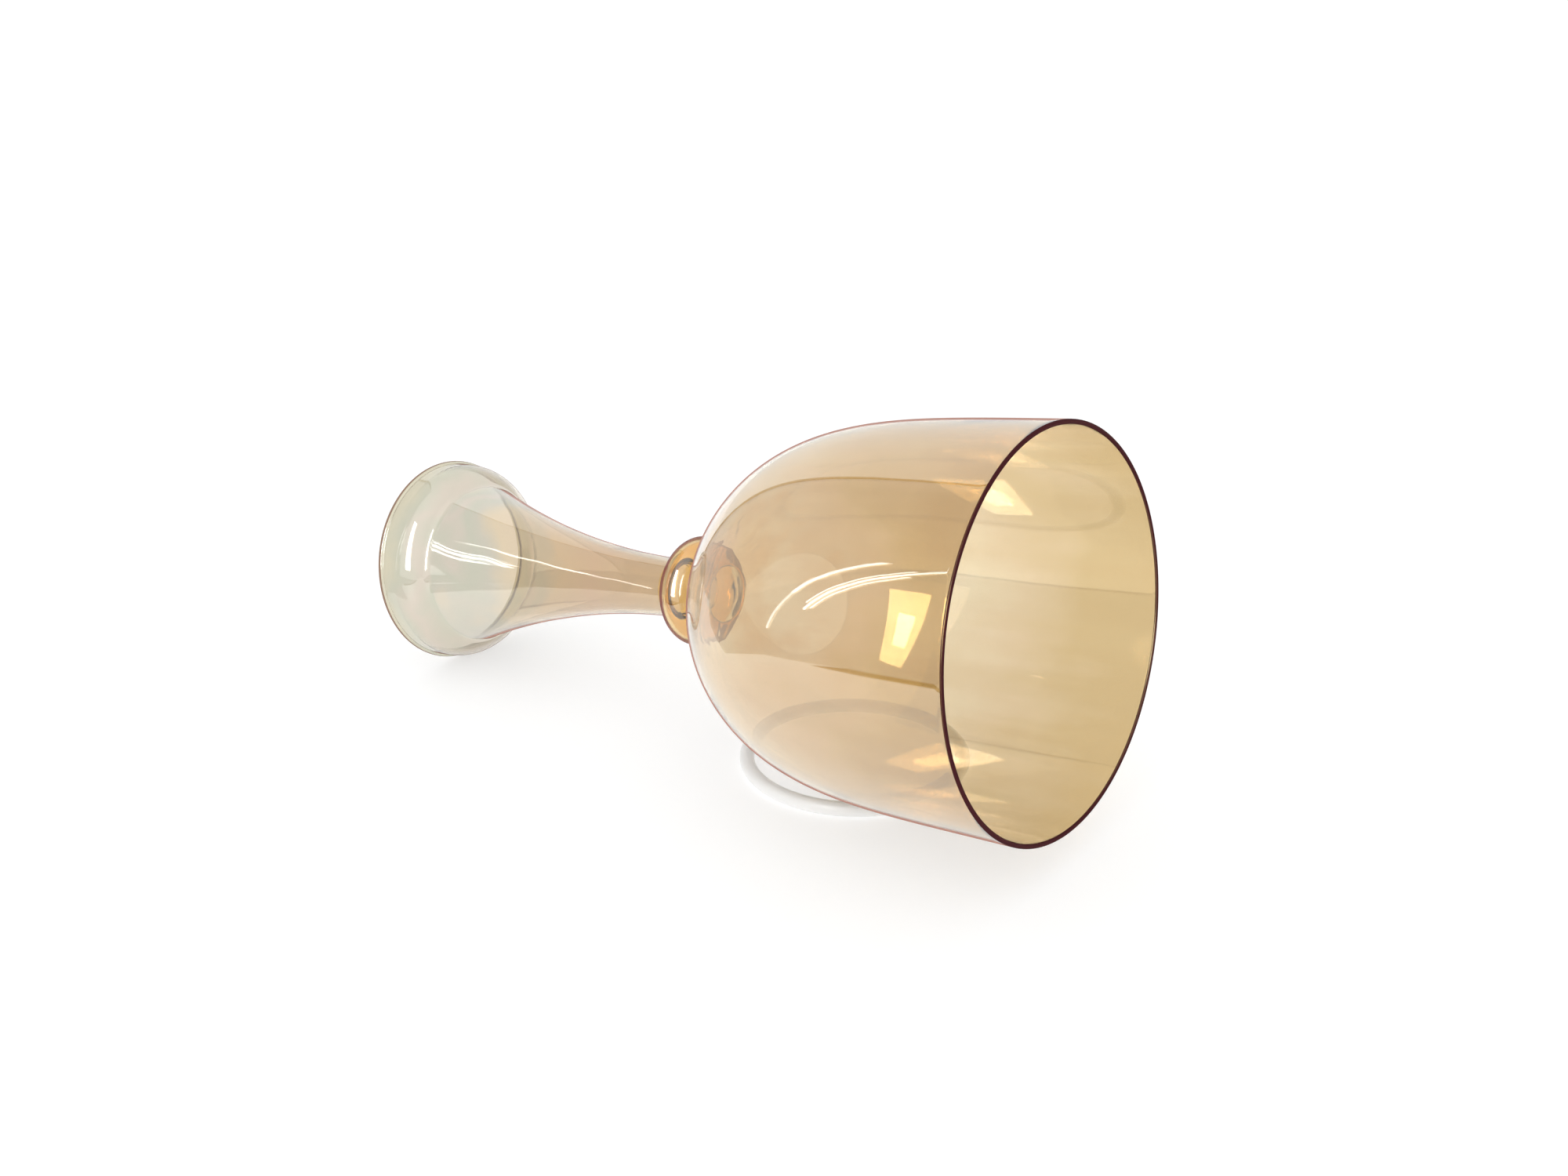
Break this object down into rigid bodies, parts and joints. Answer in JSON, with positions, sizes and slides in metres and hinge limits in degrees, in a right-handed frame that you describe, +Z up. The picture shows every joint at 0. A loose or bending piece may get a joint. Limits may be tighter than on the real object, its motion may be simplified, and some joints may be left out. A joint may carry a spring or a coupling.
{
  "type": "handled glass singing bowl",
  "caption": "Blown glass singing bowl with a bell, a hollow knop, a flared hollow handle and a cup-shaped foot, lying on its side on a soft rest ring.",
  "frame": {"origin": "middle of the footprint, on the floor that the ring and the rim of the foot rest on", "axes": "+X along the bowl towards its mouth, +Z up, +Y to the side that the rest ring sits towards"},
  "size_m": [0.3814, 0.1798, 0.1929],
  "materials": {
    "amber_glass": "gloss, amber coating",
    "gold_glass": "gloss, gold coating",
    "peach_glass": "gloss, peach coating",
    "pale_glass": "gloss, almost clear",
    "silicone": "smooth, translucent white"
  },
  "bodies": {
    "rest": {"rest_ring": "silicone"},
    "bowl": {"bell": "amber_glass", "neck_seal": "gold_glass", "knop": "gold_glass", "stem_seal": "gold_glass", "stem": "peach_glass", "foot_cup": "pale_glass"}
  },
  "joints": [
    {"name": "lift_off", "type": "slide", "parent": "rest", "child": "bowl", "axis": [0, 0, 1], "range_m": [0, 0.12]}
  ]
}
